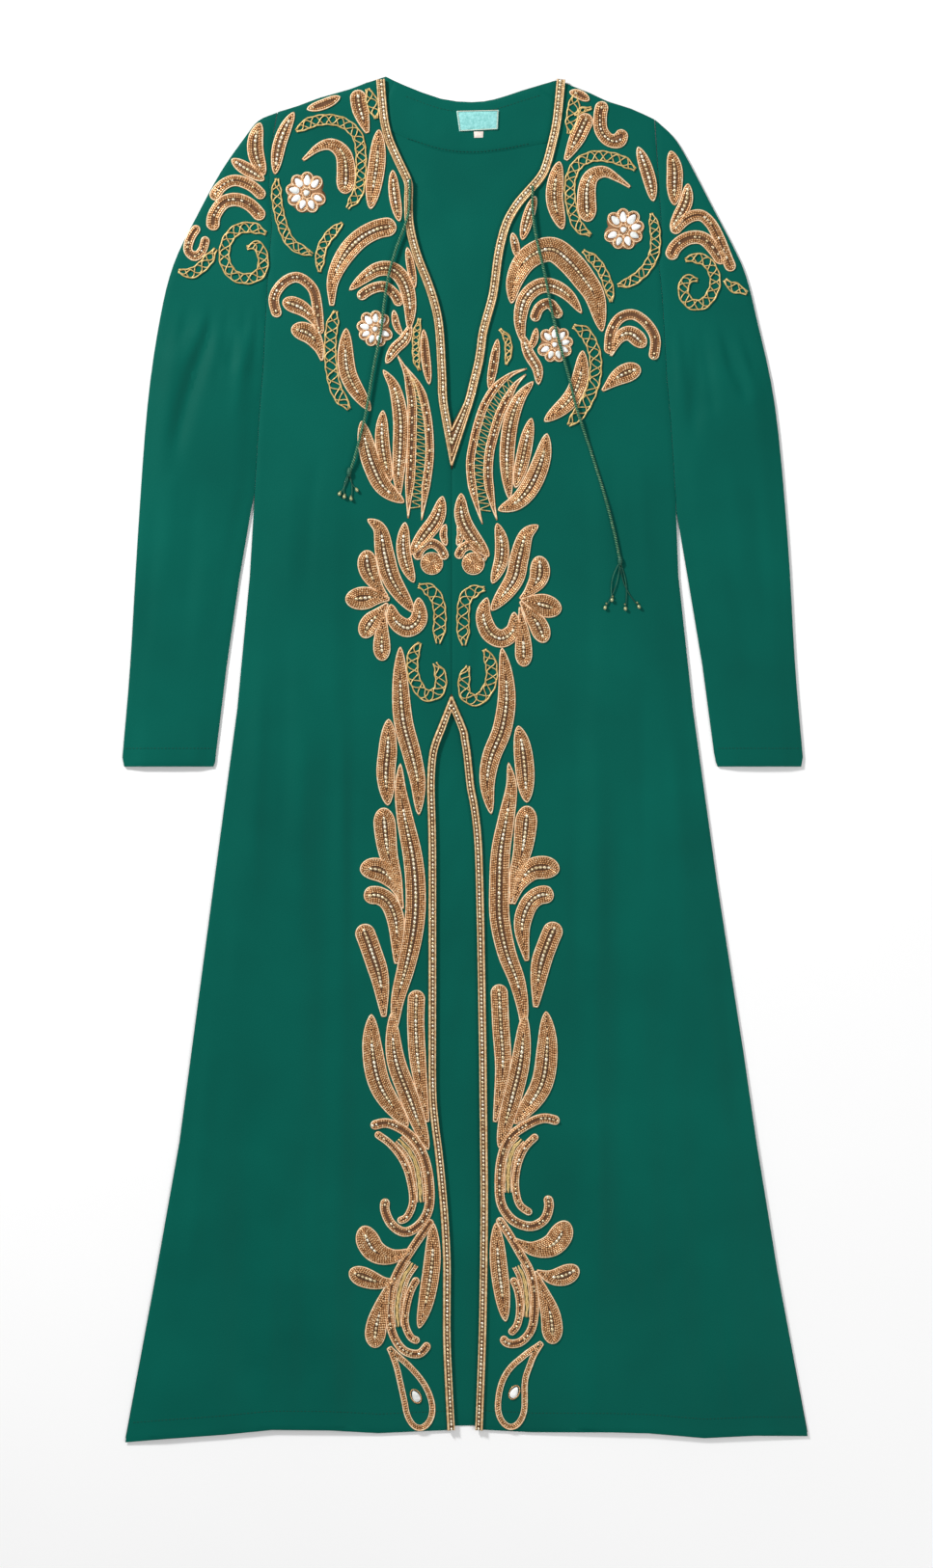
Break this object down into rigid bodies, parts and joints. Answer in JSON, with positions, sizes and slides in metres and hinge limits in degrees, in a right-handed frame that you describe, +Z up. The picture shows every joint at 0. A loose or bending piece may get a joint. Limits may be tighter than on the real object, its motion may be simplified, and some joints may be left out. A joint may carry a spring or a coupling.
{
  "type": "long kaftan with corded and beaded applique, laid flat",
  "caption": "Long open-neck silk kaftan laid flat: straight sleeves, flared skirt with a front slit, corded and beaded leaf applique, open nets, tie cords with tassels.",
  "frame": {"origin": "middle of the footprint, on the surface that the garment lies on", "axes": "+Z up off the surface, +Y towards the neck, +X towards the right-hand sleeve as seen from above"},
  "size_m": [0.71, 1.416, 0.0103],
  "materials": {
    "crepe": "emerald green silk crepe with a soft sheen",
    "copper_beads": "rose-gold and copper seed beads",
    "gold_beads": "pale gold faceted beads",
    "gold_cord": "antique gold metallic thread cord",
    "gems": "clear cut stones in copper settings",
    "label_cloth": "matte turquoise woven tape with a cream edge",
    "tie_cord": "twisted green cord with pale flecks"
  },
  "bodies": {
    "root": {"back": "crepe", "back_neck_facing": "crepe", "label": "label_cloth", "size_tab": "label_cloth", "front_left": "crepe", "front_right": "crepe", "sleeve_left": "crepe", "sleeve_right": "crepe", "neck_trim_left": "gold_cord", "neck_trim_right": "gold_cord", "slit_trim_left": "gold_cord", "slit_trim_right": "gold_cord", "net_ring_left": "gold_cord", "net_ring_right": "gold_cord", "net_ring_low_left": "gold_cord", "net_ring_low_right": "gold_cord", "net_strip_left": "gold_cord", "net_strip_right": "gold_cord", "net_spiral_left": "gold_cord", "net_spiral_right": "gold_cord", "net_edge_left": "gold_cord", "net_edge_right": "gold_cord", "net_chest_left": "gold_cord", "net_chest_right": "gold_cord", "net_neck_left": "gold_cord", "net_neck_right": "gold_cord", "net_waist_left": "gold_cord", "net_waist_right": "gold_cord", "net_waist_low_left": "gold_cord", "net_waist_low_right": "gold_cord", "net_hook_left": "gold_cord", "net_hook_right": "gold_cord", "net_stem_left": "gold_cord", "net_stem_right": "gold_cord", "tie_cord_left": "tie_cord", "tie_cord_right": "tie_cord", "tassel_left": "tie_cord", "tassel_right": "tie_cord"}
  },
  "joints": []
}
